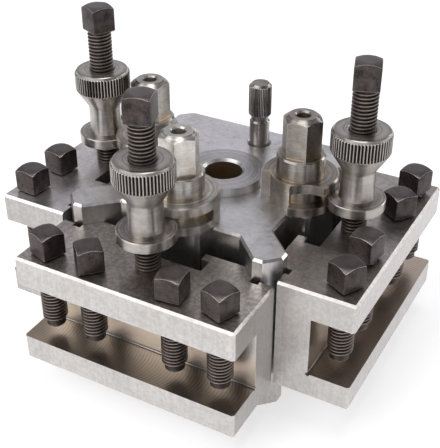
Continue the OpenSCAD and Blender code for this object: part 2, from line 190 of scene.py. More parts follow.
def thread(bm, crest, root, pitch, low, high):
    """A closed rod with a right-hand helical thread from low to high."""
    flat = THREAD_FLAT_SHARE
    flank = (1 - 2 * flat) / 2
    shape = ((0.0, root), (flat, root), (flat + flank, crest), (flat + flank + flat, crest))
    points = len(shape)
    periods = int((high - low) / pitch) + 3
    columns = []
    for k in range(ROD_SIDES):
        angle = TURN * k / ROD_SIDES
        column = []
        for m in range(points * periods):
            share, radius = shape[m % points]
            z = low + pitch * (m // points + share + k / ROD_SIDES - 1)
            if z <= low or z >= high:
                radius, z = root, min(max(z, low), high)
            column.append(bm.verts.new((radius * math.cos(angle), radius * math.sin(angle), z)))
        columns.append(column)
    for k in range(ROD_SIDES):
        here, there = columns[k], columns[(k + 1) % ROD_SIDES]
        step = points if k == ROD_SIDES - 1 else 0
        for m in range(points * periods - 1 - step):
            bm.faces.new((here[m], there[m + step], there[m + 1 + step], here[m + 1]))
    bmesh.ops.remove_doubles(bm, verts=bm.verts, dist=MERGE_MM)
    bmesh.ops.dissolve_degenerate(bm, dist=MERGE_MM, edges=bm.edges)
    open_edges = [e for e in bm.edges if e.is_boundary]
    bmesh.ops.holes_fill(bm, edges=open_edges, sides=0)


def square_outline(half, corner):
    """Points round a square with rounded corners."""
    points = []
    centre = (half - corner) * math.sqrt(2)
    for quarter in range(4):
        start = math.radians(90 * quarter + 45)
        for k in range(HEAD_CORNER_STEPS + 1):
            angle = math.radians(90 * quarter + 90 * k / HEAD_CORNER_STEPS)
            points.append((
                centre * math.cos(start) + corner * math.cos(angle),
                centre * math.sin(start) + corner * math.sin(angle),
            ))
    return points


def subdivided(outline, parts):
    """The same closed outline with each stretch longer than a millimetre cut into parts."""
    points = []
    for k, (x, y) in enumerate(outline):
        nx, ny = outline[(k + 1) % len(outline)]
        count = parts if math.hypot(nx - x, ny - y) > 1 else 1
        for j in range(count):
            points.append((x + (nx - x) * j / count, y + (ny - y) * j / count))
    return points


def square_head(bm, foot, height, turn_degrees):
    """A square head, chamfered at its foot, with its top turned to a shallow cone round a flat."""
    half = SQUARE_HEAD / 2
    turn = Matrix.Rotation(math.radians(turn_degrees), 4, "Z")
    outline = subdivided(square_outline(half, HEAD_CORNER_R), 4)
    top = foot + height

    def top_z(x, y):
        return top - max(0.0, math.hypot(x, y) - HEAD_DOME_R) * HEAD_DOME_SLOPE

    def ring(share, level):
        points = [(x * share, y * share) for x, y in outline]
        return [bm.verts.new(turn @ Vector((x, y, level(x, y)))) for x, y in points]

    rings = [
        ring(1 - HEAD_EDGE / half, lambda x, y: foot),
        ring(1.0, lambda x, y: foot + HEAD_EDGE),
        ring(1.0, lambda x, y: top_z(x, y) - HEAD_EDGE),
    ]
    rings += [ring(share, top_z) for share in HEAD_DOME_SHARES]
    stack(bm, rings)


# Nodes of materials and of the world. Of each pair of limits, a thing begins to show at the first and
# shows in full at the second: an edge by its sharpness, dirt and painted shade by the depth of a corner,
# and what lies only on faces of one direction by how squarely they face it.

RING_SCALE = 1500.0
EDGE_SHARPNESS = (0.02, 0.25)
DIRT_AND_SHADE_DEPTH = (0.3, 0.85)
FACING = (0.5, 0.9)
NODE_SAMPLES = 6


class Nodes:
    """Short calls to build the nodes of a material or of the world."""

    def __init__(self, owner, output_kind="ShaderNodeOutputMaterial"):
        owner.use_nodes = True
        self.owner = owner
        self.tree = owner.node_tree
        self.tree.nodes.clear()
        self.output = self.add(output_kind)

    def add(self, kind, **settings):
        node = self.tree.nodes.new(kind)
        for key, value in settings.items():
            setattr(node, key, value)
        return node

    def put(self, socket, value):
        """Links an output into a socket, or sets a plain value on it."""
        if isinstance(value, bpy.types.NodeSocket):
            self.tree.links.new(value, socket)
        else:
            socket.default_value = value

    def math(self, operation, a, b=0.0):
        node = self.add("ShaderNodeMath", operation=operation)
        self.put(node.inputs[0], a)
        self.put(node.inputs[1], b)
        return node.outputs[0]

    def times(self, product, *factors):
        """The product of outputs and numbers."""
        for factor in factors:
            product = self.math("MULTIPLY", product, factor)
        return product

    def level(self, share, low, high):
        """The number low where the share is 0 and high where it is 1."""
        return self.math("ADD", self.times(share, high - low), low)

    def between(self, value, low, high):
        """0 up to low, 1 from high, in a straight line between them."""
        spread = self.add("ShaderNodeMapRange")
        self.put(spread.inputs[0], value)
        spread.inputs[1].default_value = low
        spread.inputs[2].default_value = high
        return spread.outputs[0]

    def within(self, value, low, high):
        """1 where the value lies between low and high, and 0 elsewhere."""
        return self.times(self.math("GREATER_THAN", value, low), self.math("LESS_THAN", value, high))

    def vector(self, operation, a, b=(0, 0, 0)):
        node = self.add("ShaderNodeVectorMath", operation=operation)
        self.put(node.inputs[0], a)
        self.put(node.inputs[1], b)
        return node.outputs["Value" if operation in ("DOT_PRODUCT", "LENGTH") else "Vector"]

    def axes(self, vector):
        split = self.add("ShaderNodeSeparateXYZ")
        self.put(split.inputs[0], vector)
        return split.outputs

    def mix(self, factor, a, b):
        node = self.add("ShaderNodeMix", data_type="RGBA")
        self.put(node.inputs[0], factor)
        self.put(node.inputs[6], a)
        self.put(node.inputs[7], b)
        return node.outputs[2]

    def paint(self, colour, amount, tint):
        """The colour with a tint over it, as strong as the amount."""
        return self.mix(amount, colour, (*tint, 1))

    def ramp(self, value, stops):
        """A colour ramp of (position, grey or colour) stops."""
        node = self.add("ShaderNodeValToRGB")
        self.put(node.inputs[0], value)
        elements = node.color_ramp.elements
        while len(elements) < len(stops):
            elements.new(0.5)
        for element, (position, colour) in zip(elements, stops):
            element.position = position
            element.color = (*colour, 1) if isinstance(colour, tuple) else (colour, colour, colour, 1)
        return node.outputs[0]

    def noise(self, vector, scale, detail=4.0, roughness=0.6, distortion=0.0):
        node = self.add("ShaderNodeTexNoise")
        self.put(node.inputs["Vector"], vector)
        node.inputs["Scale"].default_value = scale
        node.inputs["Detail"].default_value = detail
        node.inputs["Roughness"].default_value = roughness
        node.inputs["Distortion"].default_value = distortion
        return node.outputs["Fac"]

    def streaks(self, place, scale):
        """Fine lines along the axis whose scale is small."""
        node = self.add("ShaderNodeMapping")
        self.put(node.inputs["Vector"], place)
        node.inputs["Scale"].default_value = scale
        return self.noise(node.outputs[0], 1.0, 3.0)

    def rings(self, radius, height=0.0, scale=RING_SCALE, detail=3.0):
        """Fine rings round the Z axis. With a height, they also change along it."""
        spot = self.add("ShaderNodeCombineXYZ")
        self.put(spot.inputs[0], radius)
        self.put(spot.inputs[2], height)
        return self.noise(spot.outputs[0], scale, detail)

    def place(self):
        return self.add("ShaderNodeTexCoord").outputs["Object"]

    def radius(self, place):
        """The distance of a place from the Z axis."""
        return self.vector("LENGTH", self.vector("MULTIPLY", place, (1, 1, 0)))

    def normal(self):
        """The direction in which the face points."""
        return self.add("ShaderNodeNewGeometry").outputs["Normal"]

    def up(self):
        """How far the face points up, from -1 to 1."""
        return self.axes(self.normal())[2]

    def bump(self, height, distance):
        node = self.add("ShaderNodeBump")
        self.put(node.inputs["Height"], height)
        node.inputs["Distance"].default_value = distance
        return node.outputs[0]

    def edge(self, radius, sharpness=EDGE_SHARPNESS):
        """1 along the sharp edges of a piece and 0 on its faces."""
        bevel = self.add("ShaderNodeBevel", samples=NODE_SAMPLES)
        bevel.inputs["Radius"].default_value = radius
        apart = self.math("SUBTRACT", 1.0, self.vector("DOT_PRODUCT", bevel.outputs[0], self.normal()))
        return self.between(apart, *sharpness)

    def dirt_and_shade(self, reach):
        """1 deep in the corners of a piece and 0 on its open faces: where dirt and painted shade are laid."""
        hidden = self.add("ShaderNodeAmbientOcclusion", samples=NODE_SAMPLES, only_local=True)
        hidden.inputs["Distance"].default_value = reach
        return self.between(self.math("SUBTRACT", 1.0, hidden.outputs["AO"]), *DIRT_AND_SHADE_DEPTH)

    def shader(self, colour, roughness, metallic, normal, tangent=None, **sockets):
        """Ends the material with a Principled shader and returns it."""
        node = self.add("ShaderNodeBsdfPrincipled")
        self.put(node.inputs["Base Color"], colour)
        self.put(node.inputs["Roughness"], roughness)
        self.put(node.inputs["Metallic"], metallic)
        self.put(node.inputs["Normal"], normal)
        if tangent:
            self.put(node.inputs["Tangent"], tangent)
        for key, value in sockets.items():
            node.inputs[key.replace("_", " ")].default_value = value
        self.put(self.output.inputs[0], node.outputs[0])
        return self.owner


# Ground steel of the post and the holders. Lengths are in metres: worn edges with a painted highlight, the
# reach of dirt and painted shade in corners, the depth of the grinding lines, the level that only the slots'
# floors lie under, the distance from the post's axis within which only the slots' walls face outward, the
# marks of the face mill, the level over which the boss stands and a radius just over the bore's. The shares
# say how strong a tint lies over the steel. The grinding lines have the scales of their noise across and
# along them. The tops' tints, the slots' gains and wall tints and the ends' shades paint in light and shade.

SIDE_TINT = (0.68, 0.655, 0.635)
# Painted light and shade: the tops are tinted lighter or darker than the sides, and differently at each
# station
TOP_LIGHT_AND_SHADE_TINT = {"front": (0.88, 0.815, 0.765), "right": (0.64, 0.59, 0.56), "left": (1.0, 0.96, 0.97)}
# Painted light: the post's top is tinted much lighter than its sides
POST_SIDE_TINT, POST_TOP_LIGHT_TINT = (0.57, 0.55, 0.535), (0.93, 0.915, 0.94)
TOP_SPECKLE = {"front": 0.55, "right": 0.5, "left": 0.2}
POST_TOP_SPECKLE = 0.15
SIDE_SPECKLE = 0.25
SIDE_CLOUDS = 0.12
SIDE_STAINS, TOP_STAINS = 0.08, 0.38
LINES_ACROSS, LINES_ALONG, UPRIGHT_LINES_ALONG = 900.0, 12.0, 25.0
CLOUD_TINT = (0.25, 0.23, 0.21)
LINE_TINT = (0.95, 0.95, 0.95)
SPECKLE_TINT = (0.3, 0.27, 0.24)
STAIN_TINT = (0.3, 0.26, 0.21)
# Dirt and painted shade in the corners
DIRT_AND_SHADE_TINT = (0.13, 0.1, 0.075)
# Worn edges, brightened as a painted highlight
WORN_AND_HIGHLIGHT_TINT = (0.95, 0.95, 0.95)
LINE_SHARE, DIRT_AND_SHADE_SHARE, WORN_AND_HIGHLIGHT_SHARE = 0.2, 0.6, 0.5
GROUND_DIRT_AND_SHADE_REACH, GROUND_WORN_AND_HIGHLIGHT_R, LINE_DEPTH = 0.003, 0.0005, 0.00004
GROUND_ROUGHNESS = (0.24, 0.44)

SLOT_FLOOR_BELOW = 0.045
SLOT_WALL_WITHIN = 0.07
MILL_CENTRE, MILL_R, MILL_FEED = 0.0711, 0.016, 0.0014
FILM_TINT, MILL_MARK_TINT = (0.42, 0.35, 0.29), (0.18, 0.15, 0.12)
MILL_MARK_SHARE = 0.5
# Painted light and shade at each station: a gain on the slots' floors and a tint on the slots' walls
SLOT_PAINTED_LIGHT_GAIN = {"front": 1.0, "right": 1.8, "left": 1.3}
WALL_LIGHT_AND_SHADE_TINT = {"front": (0.97, 0.92, 0.84), "right": (0.42, 0.37, 0.32), "left": (0.8, 0.74, 0.66)}
WALL_LIGHT_AND_SHADE_SHARE = 0.7
# Painted shade on the holders' end faces
END_PAINTED_SHADE_TINT = (0.2, 0.19, 0.18)
END_PAINTED_SHADE = {"front": 0.35, "right": 0.12, "left": 0.2}
END_FACING = (0.8, 0.95)

BOSS_OVER = 0.0706
BORE_WITHIN = 0.0085
# A painted highlight on the boss's side
BOSS_SIDE_HIGHLIGHT_TINT = (0.95, 0.93, 0.9)
BOSS_RING_TINT = (0.2, 0.19, 0.19)
BORE_TINT = (0.62, 0.49, 0.33)
BOSS_SIDE_HIGHLIGHT_SHARE, BORE_SHARE = 0.7, 0.85
SIDE_FACES_UP_LESS_THAN = 0.3


def holder_marks(n, place, on_top, clouds, colour, station):
    """What only a holder has: the arcs of a face mill and a brown film on the floor of its slot, made
    brighter at some stations as painted light, painted light and shade on the slot's wall, and painted shade
    on the two end faces."""
    outward = (*OUTWARD[station], 0)
    sideways = (outward[1], -outward[0], 0)
    out = n.vector("DOT_PRODUCT", place, outward)
    along = n.vector("DOT_PRODUCT", place, sideways)
    floor = n.times(on_top, n.math("LESS_THAN", n.axes(place)[2], SLOT_FLOOR_BELOW))
    side = n.math("SUBTRACT", out, MILL_CENTRE)
    reach = n.math("SQRT", n.math("SUBTRACT", MILL_R ** 2, n.times(side, side)))
    arcs = n.math("SINE", n.times(n.math("ADD", along, reach), TURN / MILL_FEED))
    arcs = n.times(n.between(arcs, -0.4, 0.9), n.between(clouds, 0.3, 0.6))
    # The slot's floor, made brighter at some stations as painted light
    film = [SLOT_PAINTED_LIGHT_GAIN[station] * c for c in FILM_TINT]
    mark = [SLOT_PAINTED_LIGHT_GAIN[station] * c for c in MILL_MARK_TINT]
    milled = n.mix(n.times(arcs, MILL_MARK_SHARE), (*film, 1), (*mark, 1))
    colour = n.mix(floor, colour, milled)
    normal = n.normal()
    # The slot's wall, made lighter or darker at each station as painted light and shade
    wall = n.between(n.vector("DOT_PRODUCT", normal, outward), *FACING)
    wall = n.times(wall, n.math("LESS_THAN", out, SLOT_WALL_WITHIN))
    colour = n.paint(colour, n.times(wall, WALL_LIGHT_AND_SHADE_SHARE), WALL_LIGHT_AND_SHADE_TINT[station])
    # Painted shade on the two end faces
    end = n.between(n.math("ABSOLUTE", n.vector("DOT_PRODUCT", normal, sideways)), *END_FACING)
    return n.paint(colour, n.times(end, END_PAINTED_SHADE[station]), END_PAINTED_SHADE_TINT)


def post_marks(n, place, on_top, colour):
    """What only the post has: a boss with a painted highlight on its side and turned rings on top, and a
    brown film in its bore."""
    radius = n.radius(place)
    on_side = n.math("LESS_THAN", n.up(), SIDE_FACES_UP_LESS_THAN)
    on_boss = n.math("GREATER_THAN", n.axes(place)[2], BOSS_OVER)
    # A painted highlight on the boss's side
    colour = n.paint(colour, n.times(on_boss, on_side, BOSS_SIDE_HIGHLIGHT_SHARE), BOSS_SIDE_HIGHLIGHT_TINT)
    rings = n.ramp(n.rings(radius), [(0.42, 0.55), (0.6, 0.15)])
    colour = n.paint(colour, n.times(on_boss, on_top, rings), BOSS_RING_TINT)
    wall = n.times(n.math("LESS_THAN", radius, BORE_WITHIN), on_side)
    return n.paint(colour, n.times(wall, BORE_SHARE), BORE_TINT)


def ground_steel(name, side_tint, top_light_and_shade_tint, top_speckle, streak_axis, station=None):
    """Ground steel: fine grinding lines, upright on the sides and along one axis on top, cloudy and speckled
    patches, a few stains, dirt and painted shade in the corners, and worn edges brightened with a painted
    highlight. Its top's tint paints in light and shade. It is a station's holder, or without a station the
    post."""
    n = Nodes(bpy.data.materials.new(name))
    place = n.place()
    on_top = n.between(n.up(), *FACING)
    flat_scale = [LINES_ACROSS] * 3
    flat_scale[streak_axis] = LINES_ALONG
    flat_lines = n.streaks(place, flat_scale)
    upright_lines = n.streaks(place, (LINES_ACROSS, LINES_ACROSS, UPRIGHT_LINES_ALONG))
    lines = n.math("ADD", n.times(on_top, n.math("SUBTRACT", flat_lines, upright_lines)), upright_lines)
    clouds = n.noise(place, 70.0, detail=7.0, roughness=0.78)
    grain = n.noise(place, 620.0, roughness=0.7)
    stains = n.noise(place, 75.0, detail=6.0, roughness=0.7, distortion=0.6)
    stains = n.ramp(stains, [(0.36, 1.0), (0.5, 0.0)])
    # The top's tint against the sides' is painted light and shade
    colour = n.mix(on_top, (*side_tint, 1), (*top_light_and_shade_tint, 1))
    cloudy = n.level(on_top, SIDE_CLOUDS, SIDE_CLOUDS + top_speckle)
    colour = n.paint(colour, n.times(n.ramp(clouds, [(0.35, 1.0), (0.7, 0.0)]), cloudy), CLOUD_TINT)
    colour = n.paint(colour, n.times(n.ramp(lines, [(0.35, 0.0), (0.65, 1.0)]), LINE_SHARE), LINE_TINT)
    speckled = n.level(on_top, SIDE_SPECKLE, top_speckle)
    colour = n.paint(colour, n.times(n.ramp(grain, [(0.42, 1.0), (0.58, 0.0)]), speckled), SPECKLE_TINT)
    colour = n.paint(colour, n.times(stains, n.level(on_top, SIDE_STAINS, TOP_STAINS)), STAIN_TINT)
    if station:
        colour = holder_marks(n, place, on_top, clouds, colour, station)
    else:
        colour = post_marks(n, place, on_top, colour)
    # Dirt and painted shade in the corners
    colour = n.paint(colour, n.times(n.dirt_and_shade(GROUND_DIRT_AND_SHADE_REACH), DIRT_AND_SHADE_SHARE), DIRT_AND_SHADE_TINT)
    # Worn edges, brightened as a painted highlight
    colour = n.paint(colour, n.times(n.edge(GROUND_WORN_AND_HIGHLIGHT_R), WORN_AND_HIGHLIGHT_SHARE), WORN_AND_HIGHLIGHT_TINT)
    return n.shader(colour, n.level(grain, *GROUND_ROUGHNESS), 1.0, n.bump(lines, LINE_DEPTH))


post_steel = ground_steel("post_steel", POST_SIDE_TINT, POST_TOP_LIGHT_TINT, POST_TOP_SPECKLE, 0)
# Each holder's material also carries its station's painted light and shade: top tint, slot gain, wall tint,
# end shade
holder_steel = {
    station: ground_steel(
        f"holder_steel_{station}",
        SIDE_TINT,
        TOP_LIGHT_AND_SHADE_TINT[station],
        TOP_SPECKLE[station],
        1 if station == "front" else 0,
        station,
    )
    for station in STATION_ANGLE
}


# Turned steel of the spindles, bolts, nuts and the pin. The roots of a knurl, darkened with painted shade,
# are in millimetres: the radius at which they are dark, the radius at which they end, and the two levels
# between which the knurl lies. The shares say how strong a tint lies over the steel.

PIN_TINT = (0.4, 0.375, 0.35)
NUT_TINT = (0.63, 0.6, 0.565)
BOLT_TINT = (0.5, 0.48, 0.45)
# Painted light and shade: the same spindle is tinted lighter or darker at each station
SPINDLE_LIGHT_AND_SHADE_TINT = {"front": (0.96, 0.93, 0.86), "right": (0.54, 0.505, 0.46), "left": (0.7, 0.665, 0.62)}
NUT_ROOT_SHADE = (11.4, 11.66, 24.3, 31.8)
PIN_ROOT_SHADE = (4.7, 4.98, 84.6, 97.8)
TOP_RINGS = 0.5
RING_TINT = (0.14, 0.13, 0.12)
OIL_TINT = (0.36, 0.24, 0.11)
# Dirt and painted shade in the corners; on the spindles, a golden tint with painted shade
CORNER_DIRT_AND_SHADE_TINT = (0.16, 0.09, 0.035)
SPINDLE_CORNER_GOLD_AND_SHADE_TINT = (0.72, 0.44, 0.12)
# Worn edges, brightened as a painted highlight
TURNED_WORN_AND_HIGHLIGHT_TINT = (0.97, 0.96, 0.94)
# Painted shade in the roots of a knurl
KNURL_ROOT_SHADE_TINT = (0.02, 0.015, 0.012)
CORNER_DIRT_AND_SHADE_SHARE, TURNED_WORN_AND_HIGHLIGHT_SHARE = 0.85, 0.85

# Lengths in metres: the reach of dirt and painted shade in corners, worn edges with a painted highlight and
# the depth of the rings; what roughness gains on the rings, and the draw of the highlights: its strength,
# and the quarter of a turn that lays it across the rings
TURNED_DIRT_AND_SHADE_REACH, TURNED_WORN_AND_HIGHLIGHT_R, RING_DEPTH = 0.0025, 0.0004, 0.00002
ROUGHNESS_SPREAD = 0.2
DRAW_STRENGTH, DRAW_TURN = 0.8, 0.25


def turned_steel(name, tint, oil=0.5, polish=0.2, roots=None, side_rings=0.15, corner_dirt_and_shade_tint=CORNER_DIRT_AND_SHADE_TINT):
    """Turned steel: fine rings round the axis, strongest on faces that point up, an uneven brown oil film,
    dirt and painted shade in the corners, worn edges brightened with a painted highlight, roots of a knurl
    darkened with painted shade, and highlights drawn out across the rings."""
    n = Nodes(bpy.data.materials.new(name))
    place = n.place()
    radius = n.radius(place)
    height = n.axes(place)[2]
    rings = n.rings(radius, height)
    clouds = n.noise(place, 160.0, detail=5.0, roughness=0.7)
    film = n.ramp(n.noise(place, 95.0, roughness=0.65), [(0.42, 0.0), (0.72, 1.0)])
    dark = [0.6 * c for c in tint]
    colour = n.mix(n.ramp(clouds, [(0.3, 0.0), (0.7, 1.0)]), (*dark, 1), (*tint, 1))
    ringed = n.level(n.between(n.up(), 0.4, 0.9), side_rings, TOP_RINGS)
    colour = n.paint(colour, n.times(n.ramp(rings, [(0.42, 1.0), (0.6, 0.0)]), ringed), RING_TINT)
    colour = n.paint(colour, n.times(film, oil), OIL_TINT)
    # Dirt and painted shade in the corners
    colour = n.paint(colour, n.times(n.dirt_and_shade(TURNED_DIRT_AND_SHADE_REACH), CORNER_DIRT_AND_SHADE_SHARE), corner_dirt_and_shade_tint)
    # Worn edges, brightened as a painted highlight
    colour = n.paint(colour, n.times(n.edge(TURNED_WORN_AND_HIGHLIGHT_R), TURNED_WORN_AND_HIGHLIGHT_SHARE), TURNED_WORN_AND_HIGHLIGHT_TINT)
    if roots:
        # Painted shade in the roots of the knurl
        dark_r, crest_r, knurl_foot, knurl_top = (v * MM for v in roots)
        deep = n.math("SUBTRACT", 1.0, n.between(radius, dark_r, crest_r))
        colour = n.paint(colour, n.times(n.within(height, knurl_foot, knurl_top), deep), KNURL_ROOT_SHADE_TINT)
    roughness = n.level(rings, polish, polish + ROUGHNESS_SPREAD)
    around = n.add("ShaderNodeTangent", direction_type="RADIAL", axis="Z").outputs[0]
    return n.shader(
        colour,
        roughness,
        1.0,
        n.bump(rings, RING_DEPTH),
        around,
        Anisotropic=DRAW_STRENGTH,
        Anisotropic_Rotation=DRAW_TURN,
    )


pin_steel = turned_steel("pin_steel", PIN_TINT, oil=0.1, polish=0.08, roots=PIN_ROOT_SHADE, side_rings=0.0)
nut_steel = turned_steel("nut_steel", NUT_TINT, oil=0.2, roots=NUT_ROOT_SHADE)
bolt_steel = turned_steel("bolt_steel", BOLT_TINT)
# Each spindle's tint carries its station's painted light and shade
spindle_steel = {
    station: turned_steel(
        f"spindle_steel_{station}",
        SPINDLE_LIGHT_AND_SHADE_TINT[station],
        oil=0.35,
        side_rings=0.2,
        corner_dirt_and_shade_tint=SPINDLE_CORNER_GOLD_AND_SHADE_TINT,
    )
    for station in STATION_ANGLE
}


# Blackened steel of the screws and studs. The thread's levels are in millimetres. Its radii are in metres:
# where painted shade darkens its roots and where the dark ends, and where a painted highlight on its crests
# begins and is brightest. So are the rubbed edge, brightened as a painted highlight, and the depth of the
# oxide's bumps. The shares say how strong a tint lies over the steel.

SCREW_THREAD = (4.0, 34.0)
STUD_THREAD = (0.0, 60.2)
THREAD_ROOT_SHADE_R = (0.0042, 0.0047)
THREAD_CREST_HIGHLIGHT_R = (0.00485, 0.00497)
OXIDE_TINT, PALE_OXIDE_TINT = (0.03, 0.024, 0.023), (0.115, 0.093, 0.088)
OXIDE_SPECKLE_TINT = (0.25, 0.2, 0.17)
OXIDE_RING_TINT = (0.24, 0.215, 0.215)
# Painted shade in the thread's roots, and a painted highlight on its crests
THREAD_ROOT_SHADE_TINT = (0.01, 0.008, 0.007)
THREAD_CREST_HIGHLIGHT_TINT = (0.31, 0.235, 0.185)
# Rubbed edges, brightened as a painted highlight
RUBBED_AND_HIGHLIGHT_TINT = (0.8, 0.74, 0.68)
OXIDE_SPECKLE_SHARE, OXIDE_RING_SHARE = 0.25, 0.6
RUBBED_AND_HIGHLIGHT_SHARE, RUBBED_AND_HIGHLIGHT_THREAD_SHARE = 0.85, 0.25
RUBBED_AND_HIGHLIGHT_R, RUBBED_AND_HIGHLIGHT_SHARPNESS = 0.0004, (0.008, 0.1)
OXIDE_RING_SCALE, OXIDE_RING_FACING = 1800.0, (0.6, 0.9)
OXIDE_DEPTH = 0.00008
OXIDE_ROUGHNESS = (0.22, 0.52)
OXIDE_METALLIC = 0.75


def black_steel(name, thread_levels):
    """Blackened steel: brown-black oxide with speckles, turned rings on top, rubbed bright on its edges with
    a painted highlight, and a thread between two levels with a brown painted highlight on its crests and
    painted shade in its roots."""
    n = Nodes(bpy.data.materials.new(name))
    place = n.place()
    radius = n.radius(place)
    clouds = n.noise(place, 220.0, detail=6.0, roughness=0.7)
    speckle = n.ramp(n.noise(place, 1400.0, detail=3.0), [(0.55, 0.0), (0.72, 1.0)])
    rings = n.rings(radius, scale=OXIDE_RING_SCALE, detail=2.0)
    rings = n.times(rings, n.between(n.up(), *OXIDE_RING_FACING))
    patches = n.ramp(clouds, [(0.35, 0.0), (0.65, 1.0)])
    colour = n.mix(patches, (*OXIDE_TINT, 1), (*PALE_OXIDE_TINT, 1))
    colour = n.paint(colour, n.times(speckle, OXIDE_SPECKLE_SHARE), OXIDE_SPECKLE_TINT)
    colour = n.paint(colour, n.times(rings, OXIDE_RING_SHARE), OXIDE_RING_TINT)
    low, high = (level * MM for level in thread_levels)
    threaded = n.within(n.axes(place)[2], low, high)
    # Painted shade in the thread's roots
    deep = n.math("SUBTRACT", 1.0, n.between(radius, *THREAD_ROOT_SHADE_R))
    colour = n.paint(colour, n.times(threaded, deep), THREAD_ROOT_SHADE_TINT)
    # A brown painted highlight on the thread's crests
    crest = n.times(threaded, n.between(radius, *THREAD_CREST_HIGHLIGHT_R), n.between(clouds, 0.2, 0.6))
    colour = n.paint(colour, crest, THREAD_CREST_HIGHLIGHT_TINT)
    # Rubbed edges, brightened as a painted highlight
    rubbed = n.level(threaded, RUBBED_AND_HIGHLIGHT_SHARE, RUBBED_AND_HIGHLIGHT_THREAD_SHARE)
    colour = n.paint(colour, n.times(n.edge(RUBBED_AND_HIGHLIGHT_R, RUBBED_AND_HIGHLIGHT_SHARPNESS), rubbed), RUBBED_AND_HIGHLIGHT_TINT)
    roughness = n.level(clouds, *OXIDE_ROUGHNESS)
    return n.shader(colour, roughness, OXIDE_METALLIC, n.bump(clouds, OXIDE_DEPTH))


screw_steel = black_steel("screw_steel", SCREW_THREAD)
stud_steel = black_steel("stud_steel", STUD_THREAD)


# Pieces


def dress_node(node, material):
    """Gives a CAD node that stays as it is a better material."""
    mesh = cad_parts[node].data
    mesh.materials.clear()
    mesh.materials.append(material)


def clamp_screw(station, number):
    node = f"clamp_screw_{station}_{number}"
    head_foot = (high_z(node) - low_z(node)) / MM - SCREW_HEAD_H
    neck_r = SCREW_ROOT + 0.5
    bm = bmesh.new()
    lathe(bm, [
        (SCREW_TIP_R - SCREW_TIP_CHAMFER, 0.0),
        (SCREW_TIP_R, SCREW_TIP_CHAMFER),
        (SCREW_TIP_R, SCREW_TIP_H),
        (SCREW_ROOT, SCREW_TIP_H + 0.4),
        (SCREW_ROOT, SCREW_TIP_H + 1.2),
    ], ROD_SIDES)
    thread(bm, SCREW_R, SCREW_ROOT, SCREW_PITCH, SCREW_TIP_H + 0.6, head_foot - 0.6)
    lathe(bm, [
        (SCREW_ROOT - 0.1, head_foot - 1.2),
        (neck_r, head_foot - 0.7),
        (neck_r, head_foot + 0.4),
    ], ROD_SIDES)
    square_head(bm, head_foot, SCREW_HEAD_H, STATION_ANGLE[station] + SCREW_TURN[station][number - 1])
    name = f"screw_detail_{station}_{number}"
    body = f"screw_{station}_{number}"
    new_piece(name, bm, foot_of(node), body, screw_steel, [node])


def height_stud(station):
    node = f"height_stud_{station}"
    holder_top = high_z(f"tool_holder_{station}")
    head_foot = (high_z(node) - holder_top) / MM - STUD_HEAD_H
    depth = (holder_top - low_z(node)) / MM
    neck_r = STUD_ROOT + 0.3
    bm = bmesh.new()
    lathe(bm, [
        (STUD_FOOT_R - STUD_FOOT_CHAMFER + 0.02, -depth),
        (STUD_FOOT_R, -depth + STUD_FOOT_CHAMFER),
        (STUD_FOOT_R, 0.4),
    ], ROD_SIDES)
    thread(bm, STUD_R, STUD_ROOT, STUD_PITCH, 0.0, head_foot - 0.5)
    lathe(bm, [
        (STUD_ROOT - 0.1, head_foot - 1.0),
        (neck_r, head_foot - 0.6),
        (neck_r, head_foot + 0.4),
    ], ROD_SIDES)
    square_head(bm, head_foot, STUD_HEAD_H, STATION_ANGLE[station] + STUD_TURN[station])
    at = foot_of(node)
    at.z = holder_top
    new_piece(f"stud_detail_{station}", bm, at, f"holder_{station}", stud_steel, [node])


def height_nut(station):
    node = f"height_nut_{station}"
    sleeve_top = FLANGE_H + SLEEVE_H
    band_foot = sleeve_top + CONE_H
    band_top = band_foot + KNURL_H
    top = band_top + WHEEL_CHAMFER
    knurl = (NUT_TOOTH_DEPTH, NUT_TEETH)
    flange = [
        (NUT_BORE_R, 0.0),
        (FLANGE_R - NUT_EDGE, 0.0),
        (FLANGE_R, NUT_EDGE),
        (FLANGE_R, FLANGE_H - NUT_EDGE),
        (FLANGE_R - NUT_EDGE, FLANGE_H),
    ]
    sleeve = [
        (SLEEVE_R + 0.8, FLANGE_H),
        (SLEEVE_R + 0.2, FLANGE_H + 0.2),
        (SLEEVE_R, FLANGE_H + 0.8),
        (SLEEVE_R, sleeve_top - 1.0),
        (SLEEVE_R + 0.3, sleeve_top),
    ]
    wheel = [
        (WHEEL_R - 0.6, band_foot - 0.9),
        (WHEEL_R - 0.5, band_foot - 0.5),
        (WHEEL_R, band_foot, *knurl),
        (WHEEL_R, band_top - 0.2, *knurl),
        (WHEEL_R - 0.55, band_top + 0.1),
        (WHEEL_R - 0.8, top - 0.25),
        (WHEEL_R - 1.2, top),
        (NUT_BORE_R + 0.6, top),
        (NUT_BORE_R, top - 0.6),
    ]
    bm = bmesh.new()
    lathe_tube(bm, flange + sleeve + wheel, NUT_TEETH * SIDES_PER_TOOTH)
    name = f"nut_detail_{station}"
    new_piece(name, bm, foot_of(node), f"nut_{station}", nut_steel, [node], CRISP_DEGREES)


